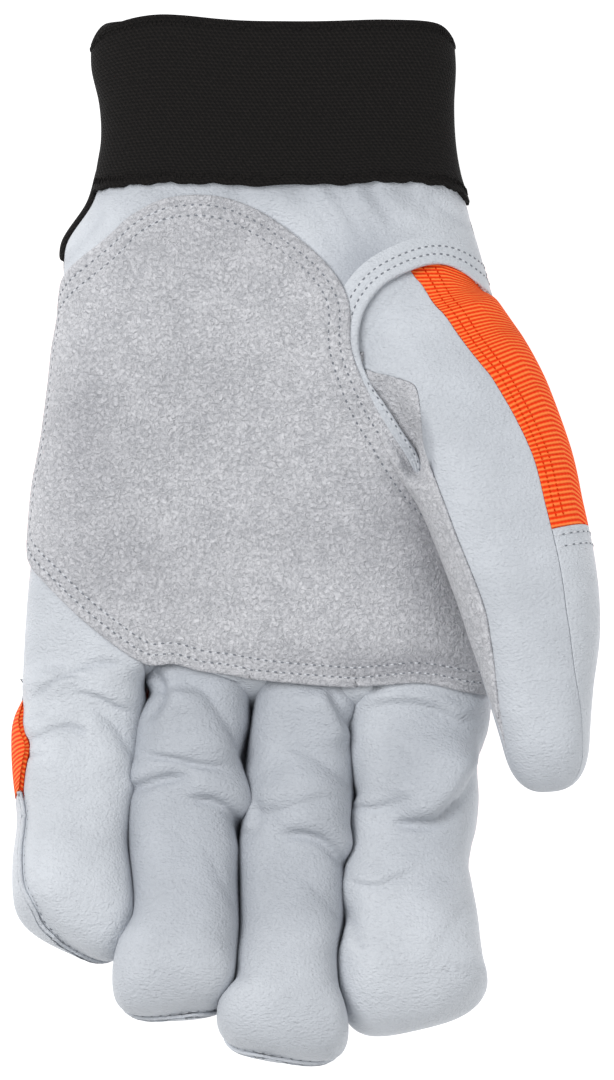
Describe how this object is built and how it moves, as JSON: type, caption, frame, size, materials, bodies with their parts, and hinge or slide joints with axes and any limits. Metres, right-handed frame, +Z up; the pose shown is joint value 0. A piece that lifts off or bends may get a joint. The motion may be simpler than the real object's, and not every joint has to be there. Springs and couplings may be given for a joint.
{
  "type": "mechanic glove",
  "caption": "Left-hand leather work glove lying on its back, palm up, with a suede palm patch, a knitted wrist cuff and curled open-hollow fingers.",
  "frame": {"origin": "on the table, under the middle of the space that the glove takes up", "axes": "+Y from the fingertips to the cuff, +X towards the thumb's side, +Z up, out of the palm"},
  "size_m": [0.1374, 0.2474, 0.0481],
  "materials": {
    "grain_leather": "soft white grain leather, slightly glossy",
    "split_leather": "grey split leather with a matt nap",
    "orange_fabric": "ribbed stretch knit, matt",
    "black_elastic": "woven elastic, matt"
  },
  "bodies": {
    "root": {"palm_leather": "grain_leather", "ring_front": "grain_leather", "middle_front": "grain_leather", "palm_patch": "split_leather", "thumb_front": "grain_leather", "thumb_crotch": "split_leather", "thumb_back": "orange_fabric", "thumb_cap": "grain_leather", "cuff": "black_elastic", "wrist_back": "black_elastic", "hand_back": "orange_fabric", "knuckle_strap": "grain_leather", "little_back": "orange_fabric", "ring_back": "orange_fabric", "middle_back": "orange_fabric", "index_back": "orange_fabric", "little_cap": "grain_leather", "ring_cap": "grain_leather", "middle_cap": "grain_leather", "index_cap": "grain_leather"}
  },
  "joints": []
}
